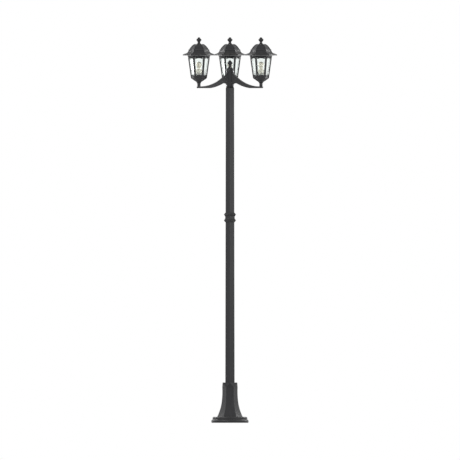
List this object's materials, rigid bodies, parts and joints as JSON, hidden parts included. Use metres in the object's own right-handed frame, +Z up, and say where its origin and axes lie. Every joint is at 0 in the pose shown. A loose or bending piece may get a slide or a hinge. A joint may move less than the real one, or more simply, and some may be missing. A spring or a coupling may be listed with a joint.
{
  "type": "triple head lamp post",
  "caption": "Tall garden lamp post with a flared six-sided column, a beaded pole, and hexagonal glazed lanterns on swept arms round a central finial.",
  "frame": {"origin": "on the post's axis at the ground, the centre of the anchor hole circle", "axes": "+Z up the post, -Y to the front, +X to the right seen from the front; one arm points to +Y"},
  "size_m": [0.5624, 0.4869, 2.3002],
  "materials": {
    "black_casting": "satin",
    "pane_glass": "gloss",
    "opal_glass": "satin",
    "bulb_cap_metal": "satin",
    "porcelain": "satin",
    "terminal_plastic": "matte",
    "zinc_steel": "satin"
  },
  "bodies": {
    "post": {"arm_screws": "zinc_steel", "bridge_studs": "zinc_steel", "collar": "black_casting", "column": "black_casting", "column_screws": "zinc_steel", "foot": "black_casting", "hub": "black_casting", "hub_cap": "black_casting", "left_arm": "black_casting", "left_bridge": "zinc_steel", "left_corner_bars": "black_casting", "left_crown_ring": "black_casting", "left_cup": "black_casting", "left_floor_ring": "black_casting", "left_lampholder": "porcelain", "left_neck": "black_casting", "left_panes": "pane_glass", "left_threaded_tube": "zinc_steel", "pole_cap": "black_casting", "pole_lower": "black_casting", "pole_set_screws": "zinc_steel", "pole_upper": "black_casting", "post_finial": "black_casting", "rear_arm": "black_casting", "rear_bridge": "zinc_steel", "rear_corner_bars": "black_casting", "rear_crown_ring": "black_casting", "rear_cup": "black_casting", "rear_floor_ring": "black_casting", "rear_lampholder": "porcelain", "rear_neck": "black_casting", "rear_panes": "pane_glass", "rear_threaded_tube": "zinc_steel", "right_arm": "black_casting", "right_bridge": "zinc_steel", "right_corner_bars": "black_casting", "right_crown_ring": "black_casting", "right_cup": "black_casting", "right_floor_ring": "black_casting", "right_lampholder": "porcelain", "right_neck": "black_casting", "right_panes": "pane_glass", "right_threaded_tube": "zinc_steel", "strap_screws": "zinc_steel", "terminal_block": "terminal_plastic", "tie_rod": "zinc_steel", "tie_rod_nut": "zinc_steel", "tube_nuts": "zinc_steel"},
    "rear_roof_body": {"rear_roof": "black_casting"},
    "rear_finial_body": {"rear_finial": "black_casting"},
    "rear_bulb_body": {"rear_bulb_cap": "bulb_cap_metal", "rear_bulb_glass": "opal_glass"},
    "left_roof_body": {"left_roof": "black_casting"},
    "left_finial_body": {"left_finial": "black_casting"},
    "left_bulb_body": {"left_bulb_cap": "bulb_cap_metal", "left_bulb_glass": "opal_glass"},
    "right_roof_body": {"right_roof": "black_casting"},
    "right_finial_body": {"right_finial": "black_casting"},
    "right_bulb_body": {"right_bulb_cap": "bulb_cap_metal", "right_bulb_glass": "opal_glass"}
  },
  "joints": [
    {"name": "rear_roof_lift", "type": "slide", "parent": "post", "child": "rear_roof_body", "axis": [0, 0, 1], "range_m": [0, 0.12]},
    {"name": "rear_finial_turn", "type": "hinge", "parent": "rear_roof_body", "child": "rear_finial_body", "pos_m": [0, 0.2138, 2.28], "axis": [0, 0, 1], "continuous": true},
    {"name": "rear_bulb_turn", "type": "hinge", "parent": "post", "child": "rear_bulb_body", "pos_m": [0, 0.2138, 2.1], "axis": [0, 0, 1], "range_deg": [0, 900]},
    {"name": "left_roof_lift", "type": "slide", "parent": "post", "child": "left_roof_body", "axis": [0, 0, 1], "range_m": [0, 0.12]},
    {"name": "left_finial_turn", "type": "hinge", "parent": "left_roof_body", "child": "left_finial_body", "pos_m": [-0.18516, -0.1069, 2.28], "axis": [0, 0, 1], "continuous": true},
    {"name": "left_bulb_turn", "type": "hinge", "parent": "post", "child": "left_bulb_body", "pos_m": [-0.18516, -0.1069, 2.1], "axis": [0, 0, 1], "range_deg": [0, 900]},
    {"name": "right_roof_lift", "type": "slide", "parent": "post", "child": "right_roof_body", "axis": [0, 0, 1], "range_m": [0, 0.12]},
    {"name": "right_finial_turn", "type": "hinge", "parent": "right_roof_body", "child": "right_finial_body", "pos_m": [0.18516, -0.1069, 2.28], "axis": [0, 0, 1], "continuous": true},
    {"name": "right_bulb_turn", "type": "hinge", "parent": "post", "child": "right_bulb_body", "pos_m": [0.18516, -0.1069, 2.1], "axis": [0, 0, 1], "range_deg": [0, 900]}
  ]
}
